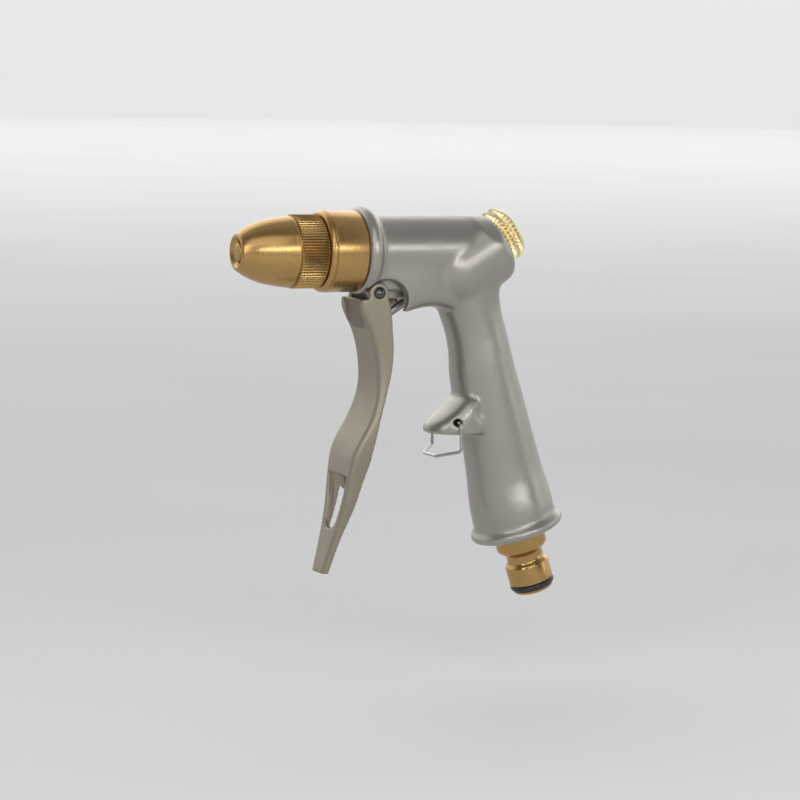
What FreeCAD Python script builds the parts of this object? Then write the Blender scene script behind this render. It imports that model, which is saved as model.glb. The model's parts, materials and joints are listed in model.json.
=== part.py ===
import FreeCAD, Part
import math
import os

# Hose spray nozzle of the pistol kind, cast body with brass fittings. Sizes are in mm.
# Everything is drawn in the barrel's axes: X runs back along the spray axis from the rear
# face of the brass collar, Z is up, and the lever hangs below the barrel.
# export() then moves each piece so that the origin is the centre of the hose nipple's end face.

# ---- driving sizes -------------------------------------------------------------------
BARREL_R = 12.5            # outside radius of the cast barrel
BARREL_LEN = 56.0          # barrel before its back is trimmed
FLANGE_R = 15.6            # outside radius of the rounded rim behind the collar
FLANGE_W = 5.0             # width of that rim along the barrel

COLLAR_R = 14.15           # brass collar
COLLAR_LEN = 14.0
BAND_R = 12.7              # knurled band of the spray sleeve
SLEEVE_TIP_X = -44.0       # front face of the spray sleeve
SPIGOT_R = 9.6             # threaded spigot that the sleeve runs on
SPIGOT_END_X = -25.0
WATER_R = 5.5              # water way through the barrel and the handle
BAND_TEETH = 78
BAND_TOOTH_DEPTH = 0.35
BAND_FRONT_X = -24.2
BAND_BACK_X = -14.3
SLEEVE_BORE_END_X = -29.3
SLEEVE_RING_X = -19.0      # rubber ring between sleeve and spigot
SLEEVE_RING_WIRE_R = 0.62
PIN_HEAD_R = 3.28          # centre pin seen in the mouth of the sleeve
THROAT_R = 3.65            # mouth of the sleeve around that pin

VALVE_ANGLE = 31.6         # valve axis above the spray axis, degrees
KNOB_X = 53.95             # where the valve axis leaves the back of the casting
KNOB_Z = 3.23
KNOB_R = 10.0
KNOB_H = 7.1
CHAMBER_R = 14.2           # swelling of the casting around the valve
CHAMBER_LEN = 31.0
CHAMBER_ROUND = 18.0       # where the swelling reaches its full radius
BACK_EDGE_R = 11.3         # edge of the back face around the knob
CROWN_R = 15.2             # roundness of the swelling's top, in line with the barrel's
SPACE_R = 8.6              # valve bore around the spring
FRONT_SPACE_R = 6.4        # valve bore in front of the seat
BONNET_R = 9.0             # threaded bush that closes the valve bore
BONNET_LEN = 5.8
SCREW_R = 3.4              # screw of the rear knob
SCREW_TIP_R = 2.2          # pilot that holds the spring seat
SEAT_PLATE_S = -9.6        # front face of the spring seat
SPRING_R = 5.4             # return spring
SPRING_WIRE_R = 0.55
SPRING_TURNS = 3.5
KNOB_TEETH = 36
KNOB_TOOTH_DEPTH = 0.75
STEM_R = 1.5               # valve stem
SEAT_S = -25.5             # valve seat, along the valve axis from the back face
STEM_TIP_S = -57.6         # rounded front end of the stem
GLAND_S = -41.2            # front face of the wall that the stem leaves through
GLAND_R = 3.6              # gland nut
PACKING_END_S = -34.0

PIVOT_X = 5.8              # lever pivot
PIVOT_Z = -14.0
PIN_R = 1.6                # shank of the pivot pin
EAR_R = 3.6                # round end of each lever ear
TONGUE_Y = 6.8             # half width of the casting between the ears
SKIRT_Y = 11.8             # half width of the casting's skirt under the barrel
POCKET_R = 8.2             # round relief that the ears turn in
POCKET_X = PIVOT_X + 2.2
POCKET_Z = PIVOT_Z - 3.2
POCKET_DEPTH = 10.0
EAR_W = 2.4                # thickness of each ear
LEVER_WALL = 2.2           # wall of the cast lever
LEVER_EDGE_R = 2.0         # rounding of its front corners
FACET_R = 7.4              # U-shaped flat at the top of its front face
FACET_TILT = 13.0
FACET_X = 0.9
FACET_Z = -21.8
SLOT_TOP_Z = -77.6         # tapered slot in the lever's front face
SLOT_END_Z = -91.6
SLOT_TOP_Y = 7.9
SLOT_END_Y = 4.9

NIPPLE_X = 73.0            # centre of the hose nipple's end face
NIPPLE_Z = -122.2
NIPPLE_ANGLE = 18.15       # lean of the nipple from upright, degrees
NIPPLE_R = 7.91            # sealing land of the hose nipple
NIPPLE_BORE_R = 4.5
NIPPLE_STUB_R = 7.6        # screwed stub of the nipple inside the handle
NIPPLE_STUB_END = 35.0
BEAD_S = 24.6              # handle's bottom bead above the nipple's end face
BEAD_R = 16.8
HANDLE_END_R = 14.9        # handle just above the bead

WIRE_R = 0.55              # locking bail
BAIL_HOLE_R = 1.3          # loose hole for it through the finger rest
BAIL_X = 36.7
BAIL_Z = -60.0
BAIL_Y = 11.8              # half distance between the bail's legs

RUN_GAP = 0.08             # running clearance on radius
FREE_GAP = 0.3             # gap between pieces that pass without touching
SLEEVE_RING_R = SPIGOT_R + RUN_GAP + SLEEVE_RING_WIRE_R

X_AXIS = FreeCAD.Vector(1, 0, 0)
Y_AXIS = FreeCAD.Vector(0, 1, 0)
Z_AXIS = FreeCAD.Vector(0, 0, 1)
BARREL_O = FreeCAD.Vector(0, 0, 0)
VALVE_O = FreeCAD.Vector(KNOB_X, 0, KNOB_Z)
VALVE_AXIS = FreeCAD.Vector(
    math.cos(math.radians(VALVE_ANGLE)), 0, math.sin(math.radians(VALVE_ANGLE))
)
NIPPLE_O = FreeCAD.Vector(NIPPLE_X, 0, NIPPLE_Z)
NIPPLE_UP = FreeCAD.Vector(
    -math.sin(math.radians(NIPPLE_ANGLE)), 0, math.cos(math.radians(NIPPLE_ANGLE))
)
NIPPLE_BACK = FreeCAD.Vector(NIPPLE_UP.z, 0, -NIPPLE_UP.x)
HANDLE_BORE_AXIS = FreeCAD.Vector(-0.262, 0, 0.965)
PIVOT_O = FreeCAD.Vector(PIVOT_X, 0, PIVOT_Z)


# ---- helpers -------------------------------------------------------------------------
def stand(shape, origin, axis):
    """Turn a shape drawn about Z so that Z lies along axis, then set it at origin."""
    turn = FreeCAD.Rotation(Z_AXIS, axis)
    shape.Placement = FreeCAD.Placement(origin, turn)
    return shape


def rod(origin, axis, radius, start, end):
    """Round bar about a line, between two distances along it."""
    bar = Part.makeCylinder(radius, end - start, FreeCAD.Vector(0, 0, start))
    return stand(bar, origin, axis)


def tube(origin, axis, outer, inner, start, end):
    """Plain ring or sleeve about a line."""
    return rod(origin, axis, outer, start, end).cut(
        rod(origin, axis, inner, start - 1, end + 1)
    )


def turned(points, origin, axis):
    """Solid turned about a line from (distance along, radius) corner points."""
    corners = [FreeCAD.Vector(r, 0, s) for s, r in points]
    corners.append(corners[0])
    face = Part.Face(Part.makePolygon(corners))
    return stand(face.revolve(BARREL_O, Z_AXIS, 360), origin, axis)


def ring(origin, axis, centre_r, wire_r, at):
    """O-ring at a distance along a line."""
    torus = Part.makeTorus(centre_r, wire_r, FreeCAD.Vector(0, 0, at))
    return stand(torus, origin, axis)


def slab(points, half_y):
    """Plate with an outline of (x, z) corner points, from -half_y to +half_y."""
    corners = [FreeCAD.Vector(x, -half_y, z) for x, z in points]
    corners.append(corners[0])
    return Part.Face(Part.makePolygon(corners)).extrude(Y_AXIS * (2 * half_y))


def curve(points):
    """Smooth edge through points."""
    spline = Part.BSplineCurve()
    spline.interpolate(points)
    return spline.toShape()


def knurl(outer, inner, teeth, start, end, shift, origin, axis):
    """Toothed disc: straight V teeth around a line."""
    corners = []
    for i in range(2 * teeth):
        angle = math.pi * (i + shift) / teeth
        radius = inner if i % 2 else outer
        corners.append(
            FreeCAD.Vector(radius * math.cos(angle), radius * math.sin(angle), start)
        )
    corners.append(corners[0])
    face = Part.Face(Part.makePolygon(corners))
    return stand(face.extrude(Z_AXIS * (end - start)), origin, axis)


def oval(centre, side_a, half_a, side_b, half_b, power=1.0):
    """Closed oval wire; a power under 1 squares its corners."""
    count = 12 if power == 1.0 else 28
    points = []
    for i in range(count):
        angle = math.radians(70 + 360 * i / count)
        a = math.cos(angle)
        b = math.sin(angle)
        points.append(
            centre
            + side_a * (half_a * math.copysign(abs(a) ** power, a))
            + side_b * (half_b * math.copysign(abs(b) ** power, b))
        )
    spline = Part.BSplineCurve()
    spline.interpolate(Points=points, PeriodicFlag=True)
    return Part.Wire(spline.toShape())


def along_nipple(up, back):
    """Point at a height up the nipple axis and a distance behind it."""
    return NIPPLE_O + NIPPLE_UP * up + NIPPLE_BACK * back


# ---- cast body -----------------------------------------------------------------------
# height up the nipple axis, centre behind it, half depth, half width
HANDLE_SECTIONS = [
    (BEAD_S - 1.6, 0.0, HANDLE_END_R, HANDLE_END_R),
    (31.0, 0.1, 14.9, 14.8),
    (35.3, 0.3, 14.8, 14.2),
    (41.5, 0.6, 14.3, 12.8),
    (48.9, 1.2, 13.6, 12.1),
    (60.0, 2.0, 12.9, 11.7),
    (70.0, 2.5, 12.5, 11.3),
    (81.9, 3.0, 12.0, 10.9),
    (94.2, 4.6, 10.9, 10.2),
    (104.0, 5.0, 11.0, 10.2),
    (111.0, 5.6, 12.2, 10.9),
    (117.0, 5.6, 13.6, 11.4),
]


def handle_skin():
    """Tapered oval handle, leaning back."""
    wires = []
    for up, back, deep, wide in HANDLE_SECTIONS:
        centre = along_nipple(up, back)
        wires.append(oval(centre, NIPPLE_BACK, deep, Y_AXIS, wide))
    return Part.makeLoft(wires, True, False)


def chamber_skin():
    """Swelling around the valve, domed in front, rounded to the back face."""
    front = FreeCAD.Vector(0, 0, -CHAMBER_LEN)
    dome = Part.Arc(
        front,
        FreeCAD.Vector(CHAMBER_R * 0.74, 0, -CHAMBER_LEN + 3.9),
        FreeCAD.Vector(CHAMBER_R, 0, -CHAMBER_ROUND),
    ).toShape()
    side = Part.makeLine(
        FreeCAD.Vector(CHAMBER_R, 0, -CHAMBER_ROUND), FreeCAD.Vector(CHAMBER_R, 0, -4.5)
    )
    back = Part.Arc(
        FreeCAD.Vector(CHAMBER_R, 0, -4.5),
        FreeCAD.Vector(CHAMBER_R - 0.85, 0, -1.5),
        FreeCAD.Vector(BACK_EDGE_R, 0, 0),
    ).toShape()
    close = Part.makePolygon([FreeCAD.Vector(BACK_EDGE_R, 0, 0), BARREL_O, front])
    face = Part.Face(Part.Wire([dome, side, back] + close.Edges))
    swelling = stand(face.revolve(BARREL_O, Z_AXIS, 360), VALVE_O, VALVE_AXIS)
    # its top stays in line with the top of the barrel
    crown = FreeCAD.Vector(0, 0, BARREL_R - CROWN_R)
    hood = rod(crown, X_AXIS, CROWN_R, 0, 80)
    below = Part.makeBox(
        80, 2 * CROWN_R, 60, FreeCAD.Vector(0, -CROWN_R, BARREL_R - CROWN_R - 60)
    )
    return swelling.common(hood.fuse(below))


def barrel_skin():
    """Round barrel, its back end trimmed to a rounded shoulder around the knob."""
    barrel = rod(BARREL_O, X_AXIS, BARREL_R, 0, BARREL_LEN)
    shoulder = turned(
        [
            (0, 0),
            (0, BACK_EDGE_R),
            (-1.2, 12.5),
            (-3.5, 14.2),
            (-8, 17.5),
            (-16, 30),
            (-70, 90),
            (-70, 0),
        ],
        VALVE_O,
        VALVE_AXIS,
    )
    return barrel.common(shoulder)


def flange_skin():
    """Half-round rim at the front of the barrel."""
    low = FreeCAD.Vector(BARREL_R - 1, 0, 0)
    start = FreeCAD.Vector(FLANGE_R - 1.9, 0, 0)
    top = FreeCAD.Vector(FLANGE_R, 0, FLANGE_W / 2)
    end = FreeCAD.Vector(BARREL_R, 0, FLANGE_W)
    inner = FreeCAD.Vector(BARREL_R - 1, 0, FLANGE_W)
    arc = Part.Arc(start, top, end).toShape()
    rest = Part.makePolygon([end, inner, low, start])
    face = Part.Face(Part.Wire([arc] + rest.Edges))
    return stand(face.revolve(BARREL_O, Z_AXIS, 360), BARREL_O, X_AXIS)


# distance along the barrel, half width, height of the underside
SKIRT_SECTIONS = [
    (1.0, 11.6, -13.4),
    (5.0, SKIRT_Y, -17.6),
    (10.0, SKIRT_Y, -20.2),
    (15.5, SKIRT_Y, -21.4),
    (20.6, SKIRT_Y, -20.4),
    (26.0, 11.4, -19.5),
    (33.0, 10.3, -20.4),
    (39.0, 8.6, -22.0),
    (44.0, 7.0, -23.0),
]
SKIRT_MID_Z = -3.0
CAVITY_OUTLINE = [
    (-5, -16.4),
    (18.6, -16.4),
    (21.9, -21.8),
    (21.9, -26),
    (-5, -26),
]
RELIEF_X = 9.8             # slots beside the pad's path in the roof of the cavity
RELIEF_Y = 5.7
RELIEF_LEN = 9.4
RELIEF_WIDTH = 2.4


def skirt_skin():
    """Casting under the barrel that carries the lever and the valve stem."""
    wires = []
    for x, wide, low in SKIRT_SECTIONS:
        centre = FreeCAD.Vector(x, 0, SKIRT_MID_Z)
        wires.append(oval(centre, Z_AXIS, SKIRT_MID_Z - low, Y_AXIS, wide, 0.45))
    skirt = Part.makeLoft(wires, True, False)
    skirt = skirt.common(Part.makeBox(60, 40, 40, FreeCAD.Vector(0, -20, -40)))
    cavity = slab(CAVITY_OUTLINE, TONGUE_Y)
    skirt = skirt.cut(cavity)
    for side in (-1, 1):
        relief = Part.makeBox(
            RELIEF_LEN,
            RELIEF_WIDTH,
            4,
            FreeCAD.Vector(RELIEF_X, side * RELIEF_Y - RELIEF_WIDTH / 2, -17.2),
        )
        skirt = skirt.cut(relief)
    boss = rod(PIVOT_O, Y_AXIS, EAR_R + 0.2, -TONGUE_Y, TONGUE_Y)
    return skirt.fuse(boss)


# height, front, half width of the finger rest; its sections are ovals about SPUR_BACK_X,
# or a little behind it where they are short
SPUR_SECTIONS = [
    (-42.0, 43.0, 5.4),
    (-48.0, 41.2, 7.4),
    (-52.0, 38.9, 9.2),
    (-55.4, 35.6, 10.3),
    (-58.9, 31.5, 10.7),
    (-61.2, 29.1, 10.7),
    (-62.8, 28.5, 10.7),
    (-64.4, 28.8, 10.7),
]
SPUR_BACK_X = 41.0


def spur_skin():
    """Finger rest on the front of the handle, with a blunt rounded end."""
    wires = []
    for z, front, wide in SPUR_SECTIONS:
        middle = max(SPUR_BACK_X, front + 6)
        centre = FreeCAD.Vector(middle, 0, z)
        wires.append(oval(centre, X_AXIS, middle - front, Y_AXIS, wide))
    spur = Part.makeLoft(wires, True, False)
    rim = [e for e in spur.Edges if e.BoundBox.ZMax < -64.3]
    return spur.makeFillet(1.1, rim)


def body_casting():
    """Zinc casting: barrel, valve swelling, lever tongue, handle and spur in one piece."""
    head = barrel_skin()
    for piece in (skirt_skin(), chamber_skin(), flange_skin()):
        head = head.fuse(piece)
    for side in (-1, 1):
        pocket = Part.makeCylinder(
            POCKET_R,
            POCKET_DEPTH,
            FreeCAD.Vector(POCKET_X, side * TONGUE_Y, POCKET_Z),
            Y_AXIS * side,
        )
        head = head.cut(pocket)
    foot = rod(NIPPLE_O, NIPPLE_UP, HANDLE_END_R, BEAD_S - 1.9, BEAD_S + 2)
    bead = ring(NIPPLE_O, NIPPLE_UP, BEAD_R - 1.9, 1.9, BEAD_S)
    grip = handle_skin()
    for piece in (spur_skin(), foot, bead):
        grip = grip.fuse(piece)
    skin = head.fuse(grip)
    # socket for the brass adapter, then the water way to the valve
    cuts = [
        rod(BARREL_O, X_AXIS, SPIGOT_R, -1, 13.0),
        rod(BARREL_O, X_AXIS, WATER_R, 12.0, 31.0),
        # valve bore from the back: bonnet socket, spring space, front space, gland
        rod(VALVE_O, VALVE_AXIS, BONNET_R, -BONNET_LEN, 1),
        rod(VALVE_O, VALVE_AXIS, SPACE_R, SEAT_S, -BONNET_LEN + 1),
        rod(VALVE_O, VALVE_AXIS, FRONT_SPACE_R, -32.0, SEAT_S + 1),
        rod(VALVE_O, VALVE_AXIS, GLAND_R, GLAND_S - 2, PACKING_END_S),
        rod(VALVE_O, VALVE_AXIS, STEM_R + FREE_GAP, -35.0, -31.0),
        # water way up the handle, and the nipple's socket
        rod(along_nipple(20, -0.9), HANDLE_BORE_AXIS, WATER_R, 0, 88.0),
        rod(NIPPLE_O, NIPPLE_UP, NIPPLE_STUB_R, 20.0, NIPPLE_STUB_END + 0.4),
        rod(PIVOT_O, Y_AXIS, PIN_R, -20, 20),
        rod(FreeCAD.Vector(BAIL_X, 0, BAIL_Z), Y_AXIS, BAIL_HOLE_R, -14, 14),
    ]
    for hole in cuts:
        skin = skin.cut(hole)
    return skin.removeSplitter()


# ---- valve parts ---------------------------------------------------------------------
def valve_seat():
    """Brass seat ring pressed into the step of the valve bore."""
    return turned(
        [(SEAT_S, 4.2), (SEAT_S, SPACE_R), (SEAT_S + 3, SPACE_R), (SEAT_S + 3, 4.9)],
        VALVE_O,
        VALVE_AXIS,
    )


def valve_poppet():
    """Brass head on the stem: holds the rubber seal and carries the spring."""
    s = SEAT_S + 3
    return turned(
        [
            (s + 1.6, STEM_R),
            (s + 1.6, 6.4),
            (s + 3.4, 6.4),
            (s + 3.4, 4.2),
            (s + 5.2, 4.2),
            (s + 5.2, STEM_R),
        ],
        VALVE_O,
        VALVE_AXIS,
    )


def poppet_seal():
    """Rubber washer that closes on the seat."""
    s = SEAT_S + 3
    return tube(VALVE_O, VALVE_AXIS, 6.4, STEM_R, s + 0.05, s + 1.6)


def valve_stem():
    """Steel stem from the poppet out to the lever, with a rounded front end."""
    tip = STEM_TIP_S
    stem = rod(VALVE_O, VALVE_AXIS, STEM_R, tip + STEM_R, SEAT_S + 8.2)
    ball = Part.makeSphere(STEM_R, VALVE_O + VALVE_AXIS * (tip + STEM_R))
    head = rod(VALVE_O, VALVE_AXIS, 2.6, SEAT_S + 8.2, SEAT_S + 9.4)
    return stem.fuse([ball, head]).removeSplitter()


def gland_nut():
    """Brass nut that the stem slides through."""
    body = tube(
        VALVE_O, VALVE_AXIS, GLAND_R, STEM_R + RUN_GAP, GLAND_S, GLAND_S + 3.4
    )
    slot = Part.makeBox(
        0.9, 9, 0.9, FreeCAD.Vector(-0.45, -4.5, GLAND_S - 0.01)
    )
    cross = Part.makeCompound([slot])
    return body.cut(stand(cross, VALVE_O, VALVE_AXIS))


def gland_packing():
    """Rubber packing ring behind the gland nut."""
    return tube(
        VALVE_O, VALVE_AXIS, GLAND_R, STEM_R + RUN_GAP / 2, GLAND_S + 3.4, PACKING_END_S
    )


def coil(radius, wire_r, turns, start, end):
    """Compression spring about the valve axis."""
    height = end - start
    helix = Part.makeHelix(height / turns, height, radius)
    profile = Part.Wire(
        Part.Circle(FreeCAD.Vector(radius, 0, 0), Y_AXIS, wire_r).toShape()
    )
    spring = Part.Wire(helix.Edges).makePipeShell([profile], True, True)
    return stand(spring, VALVE_O + VALVE_AXIS * start, VALVE_AXIS)


def valve_spring():
    """Return spring between the poppet and the spring seat."""
    start = SEAT_S + 3 + 3.4 + SPRING_WIRE_R
    end = SEAT_PLATE_S - SPRING_WIRE_R
    return coil(SPRING_R, SPRING_WIRE_R, SPRING_TURNS, start, end)


def spring_seat():
    """Washer that the spring bears on, carried on the end of the knob's screw."""
    return tube(
        VALVE_O, VALVE_AXIS, 7.0, SCREW_TIP_R + RUN_GAP, SEAT_PLATE_S, SEAT_PLATE_S + 1.4
    )


def valve_bonnet():
    """Brass bush screwed into the back of the casting; the knob's screw runs in it."""
    bush = tube(
        VALVE_O, VALVE_AXIS, BONNET_R, SCREW_R + RUN_GAP, -BONNET_LEN, 0
    )
    room = rod(VALVE_O, VALVE_AXIS, 5.6, -2.8, 1)
    return bush.cut(room)


def bonnet_o_ring():
    """Rubber ring that seals the knob's screw in the bonnet."""
    return tube(VALVE_O, VALVE_AXIS, 5.6, SCREW_R + RUN_GAP, -2.8, -1.2)


# ---- rear knob -----------------------------------------------------------------------
def rear_knob():
    """Round knurled knob: two rows of teeth, chamfered rim, screw on its front."""
    base = 0.5
    mid = base + (KNOB_H - 1.1) * 0.5
    rim = KNOB_H - 0.4
    root = KNOB_R - KNOB_TOOTH_DEPTH
    first = knurl(KNOB_R, root, KNOB_TEETH, base, mid, 0, VALVE_O, VALVE_AXIS)
    second = knurl(KNOB_R, root, KNOB_TEETH, mid, rim, 1, VALVE_O, VALVE_AXIS)
    blank = turned(
        [
            (base, 0),
            (base, KNOB_R - 0.7),
            (base + 0.6, KNOB_R + 0.05),
            (mid - 0.35, KNOB_R + 0.05),
            (mid, KNOB_R - 0.5),
            (mid + 0.35, KNOB_R + 0.05),
            (rim - 0.9, KNOB_R + 0.05),
            (rim, KNOB_R - 1.0),
            (rim, 0),
        ],
        VALVE_O,
        VALVE_AXIS,
    )
    grip = first.fuse(second).common(blank)
    cap = turned(
        [(rim - 0.5, 0), (rim - 0.5, 8.6), (rim, 8.6), (KNOB_H, 8.0), (KNOB_H, 0)],
        VALVE_O,
        VALVE_AXIS,
    )
    dish = turned(
        [(KNOB_H + 1, 0), (KNOB_H + 1, 6.8), (KNOB_H - 0.01, 6.4), (KNOB_H - 0.8, 0)],
        VALVE_O,
        VALVE_AXIS,
    )
    screw = rod(VALVE_O, VALVE_AXIS, SCREW_R, SEAT_PLATE_S + 1.45, base + 1)
    pilot = rod(VALVE_O, VALVE_AXIS, SCREW_TIP_R, SEAT_PLATE_S - 0.6, 0)
    return grip.fuse([cap, screw, pilot]).cut(dish).removeSplitter()


# ---- spray head ----------------------------------------------------------------------
def front_adapter():
    """Brass adapter: collar, screwed stub into the body, spigot for the sleeve."""
    body = turned(
        [
            (12.6, SPIGOT_R),
            (0, SPIGOT_R),
            (0, COLLAR_R - 0.5),
            (-0.5, COLLAR_R),
            (-COLLAR_LEN + 2.1, COLLAR_R),
            (-COLLAR_LEN + 1.9, COLLAR_R - 0.25),
            (-COLLAR_LEN + 1.6, COLLAR_R - 0.05),
            (-COLLAR_LEN + 0.2, COLLAR_R - 0.9),
            (-COLLAR_LEN, COLLAR_R - 1.3),
            (-COLLAR_LEN, SPIGOT_R),
            (SPIGOT_END_X + 0.6, SPIGOT_R),
            (SPIGOT_END_X, SPIGOT_R - 0.6),
            (SPIGOT_END_X, 6.0),
            (12.6, 6.0),
        ],
        BARREL_O,
        X_AXIS,
    )
    return body


def adapter_seal():
    """Flat rubber washer at the bottom of the adapter's socket."""
    return tube(BARREL_O, X_AXIS, SPIGOT_R - 0.2, 6.4, 12.6, 13.0)


def centre_pin():
    """Brass pin on the spray axis, held by a drilled web pressed into the adapter."""
    pin = turned(
        [
            (-12.0, 0),
            (-12.0, 6.0),
            (-16.0, 6.0),
            (-16.0, 2.4),
            (-36.0, 2.0),
            (-40.6, 2.0),
            (-42.4, PIN_HEAD_R),
            (-43.3, PIN_HEAD_R),
            (-43.6, PIN_HEAD_R - 0.3),
            (-43.6, 0),
        ],
        BARREL_O,
        X_AXIS,
    )
    dimple = Part.makeCone(0.05, 1.1, 0.9, FreeCAD.Vector(-42.75, 0, 0), X_AXIS * -1)
    pin = pin.cut(dimple)
    for i in range(6):
        angle = math.pi * i / 3
        hole = Part.makeCylinder(
            1.1,
            8,
            FreeCAD.Vector(-18, 4.1 * math.cos(angle), 4.1 * math.sin(angle)),
            X_AXIS,
        )
        pin = pin.cut(hole)
    return pin


def sleeve_o_ring():
    """Rubber ring in the sleeve's inner groove, sliding on the spigot."""
    return ring(BARREL_O, X_AXIS, SLEEVE_RING_R, SLEEVE_RING_WIRE_R, SLEEVE_RING_X)


def nozzle_sleeve():
    """Bullet-shaped spray sleeve with a finely knurled band, hollow inside."""
    nose = [
        FreeCAD.Vector(6.95, 0, -42.9),
        FreeCAD.Vector(9.35, 0, -38.6),
        FreeCAD.Vector(10.75, 0, -34.7),
        FreeCAD.Vector(11.6, 0, -30.9),
        FreeCAD.Vector(12.25, 0, -26.0),
    ]
    rim = Part.Arc(
        FreeCAD.Vector(5.7, 0, SLEEVE_TIP_X),
        FreeCAD.Vector(6.5, 0, SLEEVE_TIP_X + 0.35),
        nose[0],
    ).toShape()
    rest = Part.makePolygon(
        [
            nose[-1],
            FreeCAD.Vector(12.4, 0, -25.3),
            FreeCAD.Vector(11.9, 0, BAND_FRONT_X),
            FreeCAD.Vector(11.9, 0, BAND_BACK_X),
            FreeCAD.Vector(0, 0, BAND_BACK_X),
            FreeCAD.Vector(0, 0, SLEEVE_TIP_X),
            FreeCAD.Vector(5.7, 0, SLEEVE_TIP_X),
        ]
    )
    face = Part.Face(Part.Wire([rim, curve(nose)] + rest.Edges))
    skin = stand(face.revolve(BARREL_O, Z_AXIS, 360), BARREL_O, X_AXIS)
    root = BAND_R - BAND_TOOTH_DEPTH
    band = knurl(
        BAND_R, root, BAND_TEETH, BAND_FRONT_X, BAND_BACK_X, 0, BARREL_O, X_AXIS
    )
    ends = turned(
        [
            (BAND_FRONT_X, 0),
            (BAND_FRONT_X, BAND_R - 0.4),
            (BAND_FRONT_X + 0.4, BAND_R + 0.05),
            (BAND_BACK_X - 0.4, BAND_R + 0.05),
            (BAND_BACK_X, BAND_R - 0.4),
            (BAND_BACK_X, 0),
        ],
        BARREL_O,
        X_AXIS,
    )
    inside = turned(
        [
            (BAND_BACK_X + 1, 0),
            (BAND_BACK_X + 1, SPIGOT_R + RUN_GAP),
            (SLEEVE_BORE_END_X, SPIGOT_R + RUN_GAP),
            (-33.0, 8.2),
            (-40.6, THROAT_R),
            (-42.4, THROAT_R),
            (SLEEVE_TIP_X - 0.01, 5.2),
            (SLEEVE_TIP_X - 1, 5.2),
            (SLEEVE_TIP_X - 1, 0),
        ],
        BARREL_O,
        X_AXIS,
    )
    groove_r = SLEEVE_RING_R + SLEEVE_RING_WIRE_R + 0.2
    groove = rod(
        BARREL_O, X_AXIS, groove_r, SLEEVE_RING_X - 0.85, SLEEVE_RING_X + 0.85
    )
    return skin.fuse(band.common(ends)).cut(inside).cut(groove).removeSplitter()


# ---- lever ---------------------------------------------------------------------------
# height, front face, back edge, half width
LEVER_SECTIONS = [
    (-16.2, -0.9, 9.4, 9.5),
    (-20.9, -0.5, 10.6, 9.5),
    (-25.7, 1.9, 11.0, 9.5),
    (-33.8, 4.7, 11.6, 9.5),
    (-40.9, 5.8, 11.0, 9.7),
    (-46.2, 5.9, 9.8, 10.0),
    (-51.0, 5.2, 8.4, 10.5),
    (-55.6, 3.7, 7.0, 11.0),
    (-60.1, 1.6, 5.7, 11.4),
    (-65.0, -1.3, 4.5, 11.5),
    (-70.5, -3.7, 3.2, 11.2),
    (-74.8, -4.6, 2.1, 10.7),
    (-79.3, -5.3, 0.6, 10.1),
    (-86.4, -6.2, -1.4, 9.2),
    (-93.4, -7.6, -3.9, 8.0),
    (-100.1, -9.3, -6.5, 6.9),
    (-106.4, -11.1, -8.4, 5.9),
    (-111.7, -12.5, -10.0, 5.2),
]


def lever_outline(front_shift, back_shift, half_y):
    """Side view of the lever pushed out to a flat block."""
    front = [
        FreeCAD.Vector(x + front_shift, -half_y, z) for z, x, b, w in LEVER_SECTIONS
    ]
    back = [
        FreeCAD.Vector(b + back_shift, -half_y, z) for z, x, b, w in LEVER_SECTIONS
    ]
    top = Part.makeLine(back[0], front[0])
    end = Part.makeLine(front[-1], back[-1])
    face = Part.Face(Part.Wire([curve(front), end, curve(back), top]))
    return face.extrude(Y_AXIS * (2 * half_y))


def lever_plan(inset, z_low):
    """Front view of the lever pushed out to a flat block, walls moved in by inset."""
    used = [row for row in LEVER_SECTIONS if row[0] >= z_low]
    near = [FreeCAD.Vector(-30, -(w - inset), z) for z, x, b, w in used]
    far = [FreeCAD.Vector(-30, w - inset, z) for z, x, b, w in used]
    top = Part.makeLine(far[0], near[0])
    end = Part.makeLine(near[-1], far[-1])
    face = Part.Face(Part.Wire([curve(near), end, curve(far), top]))
    return face.extrude(X_AXIS * 60)


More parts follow.
